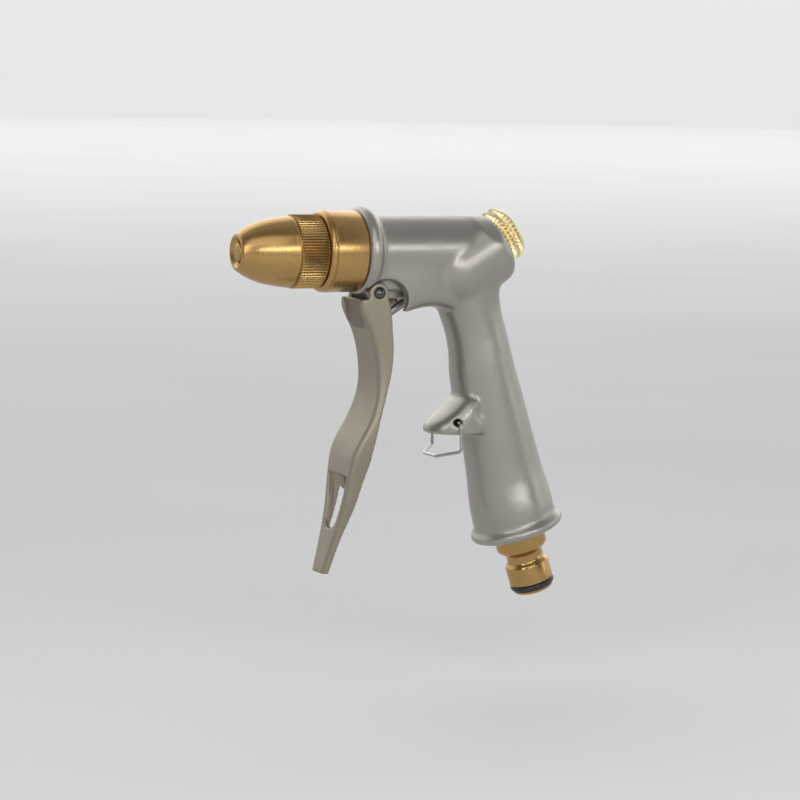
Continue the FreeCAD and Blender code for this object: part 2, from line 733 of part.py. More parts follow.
def trigger_lever():
    """Cast trigger: channel open towards the handle, two ears, slot, catch and tongue."""
    lever = lever_outline(0, 0, 12).common(lever_plan(0, -200))
    corners = [
        e
        for e in lever.Edges
        if e.BoundBox.ZLength > 80 and e.BoundBox.XMax < 8.0 and e.BoundBox.YLength > 0.5
    ]
    if corners:
        lever = lever.makeFillet(LEVER_EDGE_R, corners)
    channel = lever_outline(LEVER_WALL, 9, 12).common(lever_plan(LEVER_WALL, -101))
    lever = lever.cut(channel)
    # U-shaped flat facet on the front, at the top
    facet = Part.makeBox(
        20, 2 * FACET_R, 12, FreeCAD.Vector(-20, -FACET_R, 0)
    )
    facet = facet.fuse(
        Part.makeCylinder(FACET_R, 20, FreeCAD.Vector(-20, 0, 0), X_AXIS)
    )
    facet.rotate(BARREL_O, Y_AXIS, -FACET_TILT)
    facet.translate(FreeCAD.Vector(FACET_X, 0, FACET_Z))
    lever = lever.cut(facet)
    # ears around the pivot pin
    for side in (-1, 1):
        inner = side * (TONGUE_Y + FREE_GAP)
        ear = Part.makeCylinder(
            EAR_R, EAR_W, FreeCAD.Vector(PIVOT_X, inner, PIVOT_Z), Y_AXIS * side
        )
        low = min(inner, inner + side * EAR_W)
        neck = Part.makeBox(
            2 * EAR_R, EAR_W, 4.5, FreeCAD.Vector(PIVOT_X - EAR_R, low, PIVOT_Z - 4.5)
        )
        lever = lever.fuse([ear, neck])
    lever = lever.cut(rod(PIVOT_O, Y_AXIS, PIN_R + RUN_GAP, -15, 15))
    # tapered slot with a round bottom in the front face
    slot_points = [
        FreeCAD.Vector(-30, SLOT_TOP_Y, SLOT_TOP_Z),
        FreeCAD.Vector(-30, SLOT_END_Y, SLOT_END_Z),
        FreeCAD.Vector(-30, 0, SLOT_END_Z - SLOT_END_Y),
        FreeCAD.Vector(-30, -SLOT_END_Y, SLOT_END_Z),
        FreeCAD.Vector(-30, -SLOT_TOP_Y, SLOT_TOP_Z),
    ]
    bottom = Part.Arc(slot_points[1], slot_points[2], slot_points[3]).toShape()
    sides = [
        Part.makeLine(slot_points[0], slot_points[1]),
        bottom,
        Part.makeLine(slot_points[3], slot_points[4]),
        Part.makeLine(slot_points[4], slot_points[0]),
    ]
    slot = Part.Face(Part.Wire(sides)).extrude(X_AXIS * 60)
    lever = lever.cut(slot)
    # catch for the locking bail, and the pad that pushes the valve stem
    catch = slab(
        [(-3.6, -76.0), (-1.4, -76.0), (-1.0, -82.4), (-2.3, -83.2), (-3.4, -81.8)], 1.6
    )
    pad_face = VALVE_O + VALVE_AXIS * (STEM_TIP_S - FREE_GAP)
    pad = stand(
        Part.makeCylinder(2.6, 8, FreeCAD.Vector(0, 0, -8)), pad_face, VALVE_AXIS
    )
    pad = pad.common(lever_outline(0.4, 0, 12))
    return lever.fuse([catch, pad]).removeSplitter()


def trigger_pin():
    """Steel pivot pin with a domed head on each side."""
    face_y = TONGUE_Y + FREE_GAP + EAR_W + 0.1
    pin = rod(PIVOT_O, Y_AXIS, PIN_R, -face_y, face_y)
    for side in (-1, 1):
        centre = FreeCAD.Vector(PIVOT_X, side * (face_y - 0.9), PIVOT_Z)
        ball = Part.makeSphere(2.3, centre)
        low = min(side * face_y, side * (face_y + 3))
        keep = Part.makeBox(6, 3, 6, FreeCAD.Vector(PIVOT_X - 3, low, PIVOT_Z - 3))
        pin = pin.fuse(ball.common(keep))
    return pin.removeSplitter()


# ---- hose nipple ---------------------------------------------------------------------
def hose_nipple():
    """Brass quick-connect nipple, screwed into the bottom of the handle."""
    body = turned(
        [
            (0, NIPPLE_BORE_R),
            (0, 6.5),
            (0.8, 7.26),
            (1.2, 7.26),
            (1.2, 5.85),
            (3.6, 5.85),
            (3.6, NIPPLE_R),
            (10.4, NIPPLE_R),
            (11.4, 6.9),
            (12.0, 6.6),
            (14.4, 6.6),
            (15.9, 8.3),
            (17.1, 9.2),
            (BEAD_S - 1.95, 9.2),
            (BEAD_S - 1.95, NIPPLE_STUB_R),
            (NIPPLE_STUB_END, NIPPLE_STUB_R),
            (NIPPLE_STUB_END, NIPPLE_BORE_R + 0.6),
            (14.0, NIPPLE_BORE_R),
        ],
        NIPPLE_O,
        NIPPLE_UP,
    )
    return body


def nipple_o_ring():
    """Rubber O-ring in the groove near the nipple's end."""
    return ring(NIPPLE_O, NIPPLE_UP, 6.95, 1.1, 2.4)


def nipple_gasket():
    """Flat rubber washer above the nipple's screwed stub."""
    return tube(
        NIPPLE_O,
        NIPPLE_UP,
        NIPPLE_STUB_R - 0.1,
        NIPPLE_BORE_R + 0.8,
        NIPPLE_STUB_END,
        NIPPLE_STUB_END + 0.4,
    )


# ---- locking bail --------------------------------------------------------------------
def bail_wire():
    """Bent steel wire that swings forward to hold the lever squeezed."""
    half = [
        (BAIL_X, 6.0, BAIL_Z),
        (BAIL_X, BAIL_Y, BAIL_Z),
        (BAIL_X + 0.3, BAIL_Y, BAIL_Z - 10.0),
        (BAIL_X - 6.2, 5.2, BAIL_Z - 12.0),
    ]
    path = [FreeCAD.Vector(*p) for p in half]
    path += [FreeCAD.Vector(x, -y, z) for x, y, z in reversed(half)]
    wire = Part.makeSphere(WIRE_R, path[1])
    for start, end in zip(path, path[1:]):
        run = end - start
        wire = wire.fuse(Part.makeCylinder(WIRE_R, run.Length, start, run))
    for corner in path[1:-1]:
        wire = wire.fuse(Part.makeSphere(WIRE_R, corner))
    return wire


# ---- output --------------------------------------------------------------------------
def export(name, shape):
    """Move a piece into the shared frame and write it."""
    moved = shape.copy()
    moved.translate(NIPPLE_O * -1)
    moved.exportStep("parts/" + name + ".step")
    print(name, round(moved.Volume, 1), len(moved.Solids), moved.isValid())


def main():
    """Build and write every piece."""
    os.makedirs("parts", exist_ok=True)
    export("body_casting", body_casting())
    export("front_adapter", front_adapter())
    export("adapter_seal", adapter_seal())
    export("centre_pin", centre_pin())
    export("nozzle_sleeve", nozzle_sleeve())
    export("sleeve_o_ring", sleeve_o_ring())
    export("trigger_lever", trigger_lever())
    export("trigger_pin", trigger_pin())
    export("valve_stem", valve_stem())
    export("valve_poppet", valve_poppet())
    export("poppet_seal", poppet_seal())
    export("valve_seat", valve_seat())
    export("gland_nut", gland_nut())
    export("gland_packing", gland_packing())
    export("valve_spring", valve_spring())
    export("spring_seat", spring_seat())
    export("valve_bonnet", valve_bonnet())
    export("bonnet_o_ring", bonnet_o_ring())
    export("rear_knob", rear_knob())
    export("hose_nipple", hose_nipple())
    export("nipple_o_ring", nipple_o_ring())
    export("nipple_gasket", nipple_gasket())
    export("bail_wire", bail_wire())


main()
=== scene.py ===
"""Pistol hose spray nozzle: cast body and trigger, turned brass spray head, knob and nipple."""

import json
import math

import bpy
import numpy as np
from mathutils import Matrix, Vector

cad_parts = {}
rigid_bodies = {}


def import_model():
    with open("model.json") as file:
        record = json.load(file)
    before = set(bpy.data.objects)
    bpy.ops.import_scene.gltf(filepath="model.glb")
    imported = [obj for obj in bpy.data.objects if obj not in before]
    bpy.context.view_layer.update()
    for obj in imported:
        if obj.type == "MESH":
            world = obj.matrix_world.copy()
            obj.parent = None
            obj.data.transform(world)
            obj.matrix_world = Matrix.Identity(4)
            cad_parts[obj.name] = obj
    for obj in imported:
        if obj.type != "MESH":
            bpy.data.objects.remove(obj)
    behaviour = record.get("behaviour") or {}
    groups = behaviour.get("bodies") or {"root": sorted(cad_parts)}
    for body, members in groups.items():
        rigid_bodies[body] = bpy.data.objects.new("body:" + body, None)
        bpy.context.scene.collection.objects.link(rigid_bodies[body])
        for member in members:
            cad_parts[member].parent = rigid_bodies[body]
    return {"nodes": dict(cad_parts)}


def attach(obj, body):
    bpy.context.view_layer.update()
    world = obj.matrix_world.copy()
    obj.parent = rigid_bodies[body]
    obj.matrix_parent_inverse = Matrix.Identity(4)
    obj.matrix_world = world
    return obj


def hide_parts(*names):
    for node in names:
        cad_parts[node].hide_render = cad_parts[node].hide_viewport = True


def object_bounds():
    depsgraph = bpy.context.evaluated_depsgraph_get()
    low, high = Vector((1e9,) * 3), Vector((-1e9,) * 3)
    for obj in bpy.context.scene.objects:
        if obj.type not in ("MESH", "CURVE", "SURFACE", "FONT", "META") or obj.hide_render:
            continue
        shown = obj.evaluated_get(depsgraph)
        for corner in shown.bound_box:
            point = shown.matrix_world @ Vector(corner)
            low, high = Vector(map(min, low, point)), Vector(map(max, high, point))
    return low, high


bl_info = {
    "name": "Hose spray nozzle",
    "version": (1, 0, 0),
    "blender": (4, 5, 0),
    "location": "3D View > Sidebar > Spray nozzle",
    "description": "Models and finishes the pieces of a pistol hose spray nozzle",
    "category": "Add Mesh",
}

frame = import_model()
CAD_BOX = [list(corner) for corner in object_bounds()]

MM = 0.001
# The barrel's own axes: X back along the spray axis from the collar's rear face, Z up.
BARREL_AT = Vector((-73.0, 0.0, 122.2)) * MM
BARREL_DIR = Vector((1.0, 0.0, 0.0))
VALVE_ANGLE = math.radians(31.6)
VALVE_AT = BARREL_AT + Vector((53.95, 0.0, 3.23)) * MM
VALVE_DIR = Vector((math.cos(VALVE_ANGLE), 0.0, math.sin(VALVE_ANGLE)))
NIPPLE_ANGLE = math.radians(18.15)
NIPPLE_AT = Vector((0.0, 0.0, 0.0))
NIPPLE_DIR = Vector((-math.sin(NIPPLE_ANGLE), 0.0, math.cos(NIPPLE_ANGLE)))
PIVOT_AT = BARREL_AT + Vector((5.8, 0.0, -14.0)) * MM
PIVOT_DIR = Vector((0.0, 1.0, 0.0))
BAIL_AT = BARREL_AT + Vector((36.7, 0.0, -60.0)) * MM
# Flat facet on the lever's front, in mm in the barrel's axes; it gets painted shade.
FACET_X = 0.9
FACET_Z = -21.8
FACET_TILT = math.radians(13)
FACET_R = 7.3
FACET_REACH = 0.3          # how near the flat a vertex counts as lying on it
KNOB_MARK_FADE = 2.2       # more than the teeth's depth, so the painted shade in the knob's grooves stays gentle


# ---- hands-on helpers ------------------------------------------------------------------
def deselect():
    """Nothing selected, object mode."""
    if bpy.context.object and bpy.context.object.mode != "OBJECT":
        bpy.ops.object.mode_set(mode="OBJECT")
    for thing in bpy.context.view_layer.objects:
        if thing.select_get():
            thing.select_set(False)


def take(piece):
    """Make one piece the only selected one, and the active one."""
    deselect()
    bpy.context.view_layer.objects.active = piece
    piece.select_set(True)


def edit_all(piece):
    """Edit mode with every vertex selected."""
    take(piece)
    bpy.ops.object.mode_set(mode="EDIT")
    bpy.ops.mesh.select_mode(type="VERT")
    bpy.ops.mesh.select_all(action="SELECT")


def pick(piece, wanted):
    """In edit mode, select just the vertices for which wanted(coordinates) is true."""
    bpy.ops.mesh.select_all(action="DESELECT")
    bpy.ops.object.mode_set(mode="OBJECT")
    for v in piece.data.vertices:
        v.select = bool(wanted(v.co))
    bpy.ops.object.mode_set(mode="EDIT")


def apply_modifier(piece, kind, **settings):
    """Add one modifier and apply it."""
    take(piece)
    modifier = piece.modifiers.new(kind.title(), kind)
    for key, value in settings.items():
        setattr(modifier, key, value)
    bpy.ops.object.modifier_apply(modifier=modifier.name)


def outward(piece):
    """Merge doubles and turn every face outwards."""
    edit_all(piece)
    bpy.ops.mesh.remove_doubles(threshold=1e-7)
    bpy.ops.mesh.normals_make_consistent(inside=False)
    bpy.ops.object.mode_set(mode="OBJECT")


def smooth(piece, degrees):
    """Smooth shading that keeps edges sharper than an angle."""
    take(piece)
    bpy.ops.object.shade_smooth_by_angle(angle=math.radians(degrees))


def place(piece, at, axis):
    """Turn a piece modelled up Z so that Z lies along an axis, set it at a point, and apply that."""
    take(piece)
    turn = Vector((0.0, 0.0, 1.0)).rotation_difference(axis).to_matrix().to_4x4()
    piece.matrix_world = Matrix.Translation(at) @ turn
    bpy.ops.object.transform_apply(location=True, rotation=True, scale=True)


def eased(profile, ease):
    """Profile with each sharp corner broken by a small chamfer."""
    made = [profile[0]]
    for before, corner, after in zip(profile, profile[1:], profile[2:]):
        a = Vector(before) - Vector(corner)
        b = Vector(after) - Vector(corner)
        bend = math.pi - a.angle(b) if a.length > 1e-9 and b.length > 1e-9 else 0.0
        cut = min(ease, 0.3 * a.length, 0.3 * b.length)
        if bend < math.radians(20) or corner[1] == 0.0:
            made.append(corner)
            continue
        near = Vector(corner) + a.normalized() * cut
        far = Vector(corner) + b.normalized() * cut
        made += [tuple(near), tuple(far)]
    return made + [profile[-1]]


def lathe(name, profile, segments, ease=0.12, closed=False):
    """Turned piece up Z from (height, radius) points in mm: a circle extruded and resized along them."""
    if closed:
        profile = profile + [profile[0]]
    points = [(s * MM, r * MM) for s, r in eased(profile, ease)]
    start_pole = points[0][1] == 0.0
    end_pole = points[-1][1] == 0.0
    ringed = points[1 if start_pole else 0 : len(points) - 1 if end_pole else None]
    deselect()
    height, radius = ringed[0]
    bpy.ops.mesh.primitive_circle_add(
        vertices=segments, radius=radius, fill_type="NOTHING", location=(0, 0, height)
    )
    piece = bpy.context.object
    piece.name = name
    piece.data.name = name
    bpy.ops.object.transform_apply(location=True, rotation=True, scale=True)
    edit_all(piece)
    for (low, was), (high, now) in zip(ringed, ringed[1:]):
        bpy.ops.mesh.extrude_region_move(
            TRANSFORM_OT_translate={"value": (0, 0, high - low)}
        )
        bpy.ops.transform.resize(
            value=(now / was, now / was, 1.0), center_override=(0, 0, high)
        )
    if end_pole:
        bpy.ops.mesh.extrude_region_move(
            TRANSFORM_OT_translate={"value": (0, 0, points[-1][0] - ringed[-1][0])}
        )
        bpy.ops.mesh.merge(type="CENTER")
    if start_pole:
        bpy.ops.object.mode_set(mode="OBJECT")
        for v in piece.data.vertices:
            v.select = v.index < segments
        for e in piece.data.edges:
            e.select = all(i < segments for i in e.vertices)
        bpy.ops.object.mode_set(mode="EDIT")
        bpy.ops.mesh.extrude_region_move(
            TRANSFORM_OT_translate={"value": (0, 0, points[0][0] - height)}
        )
        bpy.ops.mesh.merge(type="CENTER")
    bpy.ops.object.mode_set(mode="OBJECT")
    outward(piece)
    return piece


def column(co, columns):
    """Which column of a turned piece a vertex is in, counted round from X."""
    return round(math.atan2(co.y, co.x) / (2 * math.pi) * columns) % columns


def sink(piece, low, high, columns, every, phases, ratio):
    """Move some columns of vertices inwards between two heights, to leave teeth between them."""
    edit_all(piece)
    pick(
        piece,
        lambda co: low * MM <= co.z <= high * MM
        and (column(co, columns) % every) in phases,
    )
    bpy.ops.transform.resize(value=(ratio, ratio, 1.0), center_override=(0, 0, 0))
    bpy.ops.object.mode_set(mode="OBJECT")


def finish_piece(piece, body, material, slot, *nodes):
    """Give a finished piece its material, its body and the CAD nodes it stands for."""
    piece.data.materials.clear()
    piece.data.materials.append(material)
    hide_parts(*nodes)
    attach(piece, body)


def points_of(mesh):
    """Vertex positions as an array."""
    found = np.zeros(len(mesh.vertices) * 3, np.float32)
    mesh.vertices.foreach_get("co", found)
    return found.reshape(-1, 3).astype(float)


# ---- materials ---------------------------------------------------------------------------
def new_material(name):
    """Empty node material with one shader; returns the material, its tree and the shader."""
    material = bpy.data.materials.new(name)
    material.use_nodes = True
    tree = material.node_tree
    shader = tree.nodes["Principled BSDF"]
    return material, tree, shader


def grain(tree, scale, detail=2.0, stretch=(1, 1, 1), turn=0.0, rough=0.5):
    """Noise on the piece's own coordinates, turned about Y, then stretched along its axes."""
    where = tree.nodes.new("ShaderNodeTexCoord")
    turned = tree.nodes.new("ShaderNodeMapping")
    turned.inputs["Rotation"].default_value = (0, turn, 0)
    stretched = tree.nodes.new("ShaderNodeMapping")
    stretched.inputs["Scale"].default_value = stretch
    noise = tree.nodes.new("ShaderNodeTexNoise")
    noise.inputs["Scale"].default_value = scale
    noise.inputs["Detail"].default_value = detail
    noise.inputs["Roughness"].default_value = rough
    tree.links.new(where.outputs["Object"], turned.inputs["Vector"])
    tree.links.new(turned.outputs["Vector"], stretched.inputs["Vector"])
    tree.links.new(stretched.outputs["Vector"], noise.inputs["Vector"])
    return noise.outputs["Fac"]


def ramp(tree, factor, low, high):
    """Map a 0 to 1 pattern onto a span of numbers."""
    span = tree.nodes.new("ShaderNodeMapRange")
    span.inputs["From Min"].default_value = 0.3
    span.inputs["From Max"].default_value = 0.7
    span.inputs["To Min"].default_value = low
    span.inputs["To Max"].default_value = high
    tree.links.new(factor, span.inputs["Value"])
    return span.outputs["Result"]


def blend_colour(tree, factor, first, second):
    """Colour that goes from first to second as the factor goes from 0 to 1."""
    mix = tree.nodes.new("ShaderNodeMix")
    mix.data_type = "RGBA"
    tree.links.new(factor, mix.inputs["Factor"])
    for socket, colour in ((mix.inputs["A"], first), (mix.inputs["B"], second)):
        if isinstance(colour, bpy.types.NodeSocket):
            tree.links.new(colour, socket)
        else:
            socket.default_value = (*colour, 1.0)
    return mix.outputs["Result"]


def bump(tree, shader, heights):
    """Stack of bumps, each (pattern, depth in metres, strength)."""
    normal = None
    for pattern, depth, strength in heights:
        node = tree.nodes.new("ShaderNodeBump")
        node.inputs["Distance"].default_value = depth
        node.inputs["Strength"].default_value = strength
        tree.links.new(pattern, node.inputs["Height"])
        if normal is not None:
            tree.links.new(normal, node.inputs["Normal"])
        normal = node.outputs["Normal"]
    tree.links.new(normal, shader.inputs["Normal"])


def darker(colour, share):
    """The same colour, scaled."""
    return tuple(c * share for c in colour)


def attribute(tree, name):
    """A number that the piece's mesh carries at each vertex."""
    node = tree.nodes.new("ShaderNodeAttribute")
    node.attribute_type = "GEOMETRY"
    node.attribute_name = name
    return node.outputs["Fac"]


def cast_finish(name, colour, roughness, flake):
    """Satin metallic coat on a casting: flake, orange peel, lighter worn edges, painted shade in the
    corners and on the lever's facet.
    """
    material, tree, shader = new_material(name)
    speckle = ramp(tree, grain(tree, 3600, 1.0), 0.0, 1.0)
    cloud = ramp(tree, grain(tree, 95, 3.0), 0.0, 1.0)
    coat = blend_colour(tree, speckle, darker(colour, 1 - flake), darker(colour, 1 + flake))
    cloudy = blend_colour(tree, cloud, darker(colour, 0.965), darker(colour, 1.03))
    both = tree.nodes.new("ShaderNodeMix")
    both.data_type = "RGBA"
    both.inputs["Factor"].default_value = 0.5
    tree.links.new(coat, both.inputs["A"])
    tree.links.new(cloudy, both.inputs["B"])
    worn = blend_colour(
        tree, attribute(tree, "edge"), both.outputs["Result"], darker(colour, 1.18)
    )
    # painted shade: the casting's corners are darkened
    corner_shaded = blend_colour(tree, attribute(tree, "corner"), worn, darker(colour, 0.62))
    # painted shade: the lever's flat facet is darkened
    shaded = blend_colour(tree, attribute(tree, "shade"), corner_shaded, darker(colour, 0.6))
    tree.links.new(shaded, shader.inputs["Base Color"])
    shader.inputs["Metallic"].default_value = 0.82
    patchy = ramp(tree, grain(tree, 160, 3.0), roughness - 0.035, roughness + 0.035)
    tree.links.new(patchy, shader.inputs["Roughness"])
    shader.inputs["Coat Weight"].default_value = 0.12
    shader.inputs["Coat Roughness"].default_value = 0.28
    bump(
        tree,
        shader,
        [
            (grain(tree, 900, 2.0), 0.00004, 0.22),
            (grain(tree, 4200, 1.0), 0.00001, 0.35),
        ],
    )
    return material


def brass_finish(name, colour, roughness, turn, lines):
    """Turned brass: fine lines round the piece, tinted by handling, with a few deeper tool marks, a
    painted highlight on knurl crests and painted shade in knurl grooves.
    """
    material, tree, shader = new_material(name)
    fine = grain(tree, 1.0, 2.0, (5200, 14, 14), turn, 0.6)
    broad = grain(tree, 1.0, 1.0, (900, 8, 8), turn, 0.5)
    tint = ramp(tree, grain(tree, 120, 3.0), 0.0, 1.0)
    stain = blend_colour(tree, tint, darker(colour, 0.93), colour)
    lined = blend_colour(tree, ramp(tree, fine, 0.0, 1.0), darker(colour, 0.955), stain)
    # painted highlight on the knurl's crests
    lit = blend_colour(tree, attribute(tree, "painted_crest_highlight"), lined, darker(colour, 1.45))
    # painted shade in the knurl's grooves
    cut = blend_colour(tree, attribute(tree, "painted_groove_shade"), lit, darker(colour, 0.4))
    tree.links.new(cut, shader.inputs["Base Color"])
    shader.inputs["Metallic"].default_value = 1.0
    tree.links.new(
        ramp(tree, fine, roughness - 0.012, roughness + 0.018), shader.inputs["Roughness"]
    )
    bump(tree, shader, [(broad, 0.00003, 0.03 * lines), (fine, 0.00001, 0.13 * lines)])
    return material


def steel_finish(name, colour, roughness, turn):
    """Drawn or polished steel with fine lines along its length."""
    material, tree, shader = new_material(name)
    draw = grain(tree, 1.0, 2.0, (260, 3800, 3800), turn, 0.5)
    tree.links.new(
        blend_colour(tree, ramp(tree, draw, 0.0, 1.0), darker(colour, 0.86), colour),
        shader.inputs["Base Color"],
    )
    shader.inputs["Metallic"].default_value = 1.0
    tree.links.new(
        ramp(tree, draw, roughness - 0.05, roughness + 0.06), shader.inputs["Roughness"]
    )
    bump(tree, shader, [(draw, 0.000008, 0.3)])
    return material


def rubber_finish(name):
    """Black moulded rubber with a faint bloom."""
    material, tree, shader = new_material(name)
    bloom = ramp(tree, grain(tree, 420, 3.0), 0.0, 1.0)
    tree.links.new(
        blend_colour(tree, bloom, (0.012, 0.012, 0.014), (0.026, 0.026, 0.03)),
        shader.inputs["Base Color"],
    )
    tree.links.new(
        ramp(tree, grain(tree, 900, 2.0), 0.26, 0.42), shader.inputs["Roughness"]
    )
    bump(tree, shader, [(grain(tree, 2600, 2.0), 0.00001, 0.3)])
    return material


def finish_named(kind):
    """The finish of that name, made the first time it is asked for."""
    found = bpy.data.materials.get(kind)
    if found:
        return found
    s = bpy.context.scene.spray_nozzle
    paint, lever, brass = tuple(s.paint), tuple(s.lever_paint), tuple(s.brass)
    valve_turn, nipple_turn = VALVE_ANGLE, NIPPLE_ANGLE + math.pi / 2
    made = {
        "satin_silver_coat": lambda n: cast_finish(n, paint, s.paint_roughness, 0.06),
        "matt_bronze_coat": lambda n: cast_finish(n, lever, s.lever_roughness, 0.05),
        "brass_round_barrel": lambda n: brass_finish(n, brass, 0.27, 0.0, 0.5),
        "brass_round_nipple": lambda n: brass_finish(n, brass, 0.17, nipple_turn, 0.3),
        "brass_round_knob": lambda n: brass_finish(
            n, tuple(s.knob_brass), 0.36, valve_turn, 0.3
        ),
        "polished_dark_steel": lambda n: steel_finish(n, (0.12, 0.118, 0.115), 0.2, 0.0),
        "drawn_steel": lambda n: steel_finish(n, (0.34, 0.335, 0.33), 0.3, valve_turn),
        "spring_steel": lambda n: steel_finish(n, (0.42, 0.42, 0.42), 0.3, 0.0),
        "bail_steel_wire": lambda n: steel_finish(n, (0.5, 0.49, 0.48), 0.28, 0.0),
        "black_rubber": rubber_finish,
    }
    return made[kind](kind)


# ---- castings ----------------------------------------------------------------------------
def merged_copy(node, name):
    """A copy of a CAD node's mesh as a new piece, with its loose triangles merged."""
    piece = bpy.data.objects.new(name, frame["nodes"][node].data.copy())
    piece.data.name = name
    bpy.context.scene.collection.objects.link(piece)
    edit_all(piece)
    bpy.ops.mesh.remove_doubles(threshold=1e-6)
    bpy.ops.object.mode_set(mode="OBJECT")
    return piece


def smoothing_shift(piece, rounds):
    """How far smoothing would move each vertex along its normal: plus in corners, minus on edges."""
    probe = bpy.data.objects.new("probe", piece.data.copy())
    bpy.context.scene.collection.objects.link(probe)
    apply_modifier(probe, "SMOOTH", factor=0.5, iterations=rounds)
    before = points_of(piece.data)
    normals = np.array([v.normal for v in piece.data.vertices], float).reshape(-1, 3)
    shift = ((points_of(probe.data) - before) * normals).sum(axis=1)
    mesh = probe.data
    bpy.data.objects.remove(probe)
    bpy.data.meshes.remove(mesh)
    return shift


def weigh(piece, name, weights):
    """Vertex group from an array of weights."""
    group = piece.vertex_groups.new(name=name)
    levels = np.round(np.clip(weights, 0, 1) * 20).astype(int)
    for level in range(1, 21):
        chosen = np.nonzero(levels == level)[0]
        if len(chosen):
            group.add(chosen.tolist(), level / 20, "REPLACE")
    return group


def mark(piece, name, values):
    """Number at each vertex, for the material to read."""
    layer = piece.data.attributes.new(name, "FLOAT", "POINT")
    layer.data.foreach_set("value", np.clip(values, 0, 1).astype(np.float32))


def mark_teeth(piece, at, axis, low, high, crest_r, fade):
    """Mark a knurl's crests for a painted highlight and its grooves for painted shade; the mark fades
    over that drop in radius.
    """
    along, radial = from_axis(points_of(piece.data), at, axis)
    knurled = (along > low) & (along < high) & (radial > crest_r - 1.6 * fade)
    sunk = np.clip((crest_r - radial) / fade, 0, 1)
    mark(piece, "painted_groove_shade", sunk * knurled)
    mark(piece, "painted_crest_highlight", (1 - sunk) * knurled)


def skin_casting(piece, voxel, reach, rounds, kept):
    """Even skin over a casting: corners filled by soft fillets, edges eased, both marked."""
    apply_modifier(
        piece, "REMESH", mode="VOXEL", voxel_size=voxel, use_smooth_shade=True
    )
    free = ~kept(points_of(piece.data))
    apply_modifier(piece, "SMOOTH", factor=0.5, iterations=2)
    shift = smoothing_shift(piece, reach)
    weigh(piece, "corner_fill", np.clip(shift / (0.06 * MM), 0, 1) * free)
    apply_modifier(
        piece, "SMOOTH", factor=0.5, iterations=reach, vertex_group="corner_fill"
    )
    weigh(piece, "edge_ease", free.astype(float))
    apply_modifier(
        piece, "SMOOTH", factor=0.5, iterations=rounds, vertex_group="edge_ease"
    )
    shift = smoothing_shift(piece, 10)
    mark(piece, "edge", (-shift / MM - 0.045) / 0.12)
    # the corner mark carries painted shade into the casting's corners
    mark(piece, "corner", (shift / MM - 0.05) / 0.15)
    piece.vertex_groups.clear()
    take(piece)
    bpy.ops.object.shade_smooth()


def from_axis(points, at, axis):
    """Distance along and away from an axis, in mm."""
    away = points - np.array(at)
    along = away @ np.array(axis)
    radial = np.linalg.norm(away - along[:, None] * np.array(axis), axis=1)
    return along / MM, radial / MM


def body_kept(points):
    """Vertices of the body casting that face another piece and keep their place."""
    x, barrel_r = from_axis(points, BARREL_AT, BARREL_DIR)
    s, valve_r = from_axis(points, VALVE_AT, VALVE_DIR)
    up, nipple_r = from_axis(points, NIPPLE_AT, NIPPLE_DIR)
    _, bail_r = from_axis(points, BAIL_AT, PIVOT_DIR)
    z = (points[:, 2] - BARREL_AT.z) / MM
    y = np.abs(points[:, 1]) / MM
    tongue = (x < 21.5) & (y < 7.3) & (z < -12.9)
    socket = (barrel_r < 10.4) & (x < 32)
    valve = (valve_r < 9.8) & (s < 0.6)
    water = (nipple_r < 8.4) & (up < 108)
    return tongue | socket | valve | water | (bail_r < 2.0)


def lever_kept(points):
    """Vertices of the lever around the pivot and at the stem's pad, which keep their place."""
    _, pivot_r = from_axis(points, PIVOT_AT, PIVOT_DIR)
    s, stem_r = from_axis(points, VALVE_AT, VALVE_DIR)
    return (pivot_r < 2.3) | ((stem_r < 3.2) & (np.abs(s + 57.9) < 0.8))


def on_facet(points):
    """One on the flat facet at the top of the lever's front, nought elsewhere."""
    x = (points[:, 0] - BARREL_AT.x) / MM - FACET_X
    y = points[:, 1] / MM
    z = (points[:, 2] - BARREL_AT.z) / MM - FACET_Z
    depth = np.abs(x * math.cos(FACET_TILT) + z * math.sin(FACET_TILT))
    inside = (np.abs(y) < FACET_R) & ((z > 0) | (np.hypot(y, z) < FACET_R))
    return ((depth < FACET_REACH) & inside).astype(float)


class SPRAY_OT_body(bpy.types.Operator):
    """Skin the body casting: barrel, valve swelling, handle and finger rest in one coat"""

    bl_idname = "spray_nozzle.body"
    bl_label = "Body casting"

    def execute(self, context):
        s = context.scene.spray_nozzle
        piece = merged_copy("body_casting", "gun_body")
        skin_casting(piece, s.body_voxel, s.body_fillet, 5, body_kept)
        finish_piece(
            piece, "body", finish_named("satin_silver_coat"), "cast_body", "body_casting"
        )
        return {"FINISHED"}


class SPRAY_OT_lever(bpy.types.Operator):
    """Skin the trigger lever casting"""

    bl_idname = "spray_nozzle.lever"
    bl_label = "Trigger lever"

    def execute(self, context):
        s = context.scene.spray_nozzle
        piece = merged_copy("trigger_lever", "trigger")
        skin_casting(piece, s.lever_voxel, s.lever_fillet, 3, lever_kept)
        # painted shade on the lever's flat facet
        mark(piece, "shade", on_facet(points_of(piece.data)))
        finish_piece(
            piece, "trigger", finish_named("matt_bronze_coat"), "cast_lever", "trigger_lever"
        )
        return {"FINISHED"}


